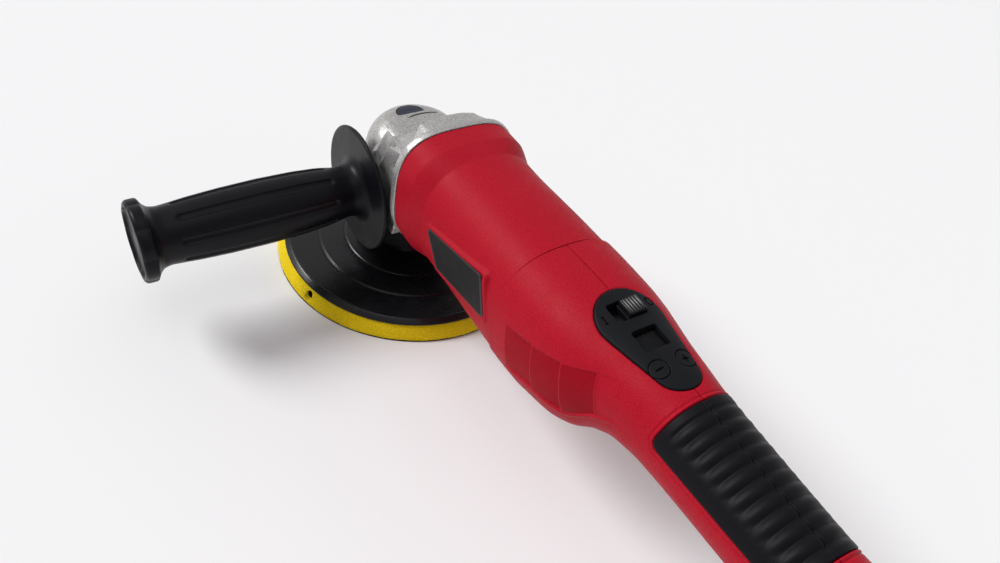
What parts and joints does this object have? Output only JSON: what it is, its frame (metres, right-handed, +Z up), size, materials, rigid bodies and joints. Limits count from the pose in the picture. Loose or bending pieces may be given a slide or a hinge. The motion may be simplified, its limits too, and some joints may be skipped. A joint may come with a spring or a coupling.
{
  "type": "dual action polisher",
  "caption": "Mains dual action car polisher: cast gear head, two-part motor body with rubber grip and slide switch, side handle and hook-and-loop foam backing pad.",
  "frame": {"origin": "centre of the pad's hook face, with the pad flat", "axes": "+Z up along the pad and spindle axes, +Y forward to the gear head's nose, -X to the side handle, -Y to the tail"},
  "size_m": [0.269, 0.47, 0.1372],
  "materials": {
    "red_plastic": "fine-textured glass-filled nylon, satin",
    "black_plastic": "satin black nylon",
    "button_plastic": "dark blue-grey satin",
    "cast_aluminium": "bead-blasted casting with machined edges",
    "yellow_foam": "firm fine-celled polyurethane foam",
    "hook_fabric": "hook-and-loop facing",
    "grip_rubber": "soft overmould, matt",
    "steel": "turned, bright",
    "lamination_steel": "stacked laminations",
    "copper_winding": "enamelled copper",
    "brass_holder": "pressed brass",
    "carbon": "graphite",
    "circuit_board": "glass-epoxy board",
    "window": "smoked clear window",
    "plate_label": "satin printed label, no text"
  },
  "bodies": {
    "housing": {"spindle_bearing_outer": "steel", "needle_bearing": "steel", "spindle_cover": "cast_aluminium", "cover_screws": "steel", "drive_skirt": "black_plastic", "gear_housing": "cast_aluminium", "lock_spring": "steel", "bearing_retainer": "steel", "front_bearing_outer": "steel", "rear_bearing_outer": "steel", "stator_core": "lamination_steel", "stator_winding": "copper_winding", "stator_screws": "steel", "brush_holders": "brass_holder", "brush_sets": "carbon", "motor_housing": "red_plastic", "housing_screws": "steel", "name_plate": "plate_label", "handle_shell_left": "red_plastic", "handle_shell_right": "red_plastic", "shell_screws": "steel", "grip_left": "grip_rubber", "grip_right": "grip_rubber", "control_panel": "black_plastic", "switch_body": "black_plastic", "display_window": "window", "display_module": "black_plastic", "control_board": "circuit_board", "minus_spring": "steel", "plus_spring": "steel", "cord_inlet": "grip_rubber", "cord_clamp": "black_plastic", "side_handle": "black_plastic", "handle_stud": "steel"},
    "drive": {"spindle": "steel", "spindle_nut": "steel", "bevel_gear": "steel", "spindle_bearing_inner": "steel", "eccentric": "steel", "counterweight": "steel", "pad_bearing_outer": "steel"},
    "pad": {"hook_layer": "hook_fabric", "foam_layer": "yellow_foam", "backing_plate": "black_plastic", "pad_stud": "steel", "pad_spindle": "steel", "pad_journal_screw": "steel", "pad_bearing_inner": "steel"},
    "armature": {"armature_shaft": "steel", "armature_core": "lamination_steel", "armature_winding": "copper_winding", "commutator": "copper_winding", "fan": "black_plastic", "bevel_pinion": "steel", "front_bearing_inner": "steel", "rear_bearing_inner": "steel"},
    "switch": {"switch_knob": "black_plastic"},
    "minus": {"minus_button": "black_plastic"},
    "plus": {"plus_button": "black_plastic"},
    "lock": {"lock_button": "button_plastic"}
  },
  "joints": [
    {"name": "spindle_spin", "type": "hinge", "parent": "housing", "child": "drive", "pos_m": [0, 0.004, 0.05], "axis": [0, 0, 1], "continuous": true},
    {"name": "pad_spin", "type": "hinge", "parent": "drive", "child": "pad", "pos_m": [0, 0, 0.03], "axis": [0, 0, 1], "continuous": true},
    {"name": "armature_spin", "type": "hinge", "parent": "housing", "child": "armature", "pos_m": [0, -0.09, 0.092], "axis": [0, 1, 0], "continuous": true},
    {"name": "switch_slide", "type": "slide", "parent": "housing", "child": "switch", "axis": [-1, 0, 0], "range_m": [0, 0.006]},
    {"name": "minus_press", "type": "slide", "parent": "housing", "child": "minus", "axis": [0, 0, -1], "range_m": [0, 0.0008], "stiffness_N_per_m": 800, "deforming": ["minus_spring"]},
    {"name": "plus_press", "type": "slide", "parent": "housing", "child": "plus", "axis": [0, 0, -1], "range_m": [0, 0.0008], "stiffness_N_per_m": 800, "deforming": ["plus_spring"]},
    {"name": "lock_press", "type": "slide", "parent": "housing", "child": "lock", "axis": [0, 0, -1], "range_m": [0, 0.003], "stiffness_N_per_m": 900, "deforming": ["lock_spring"]}
  ],
  "couplings": [
    {"joint": "armature_spin", "follows": "spindle_spin", "ratio": -3.3}
  ]
}
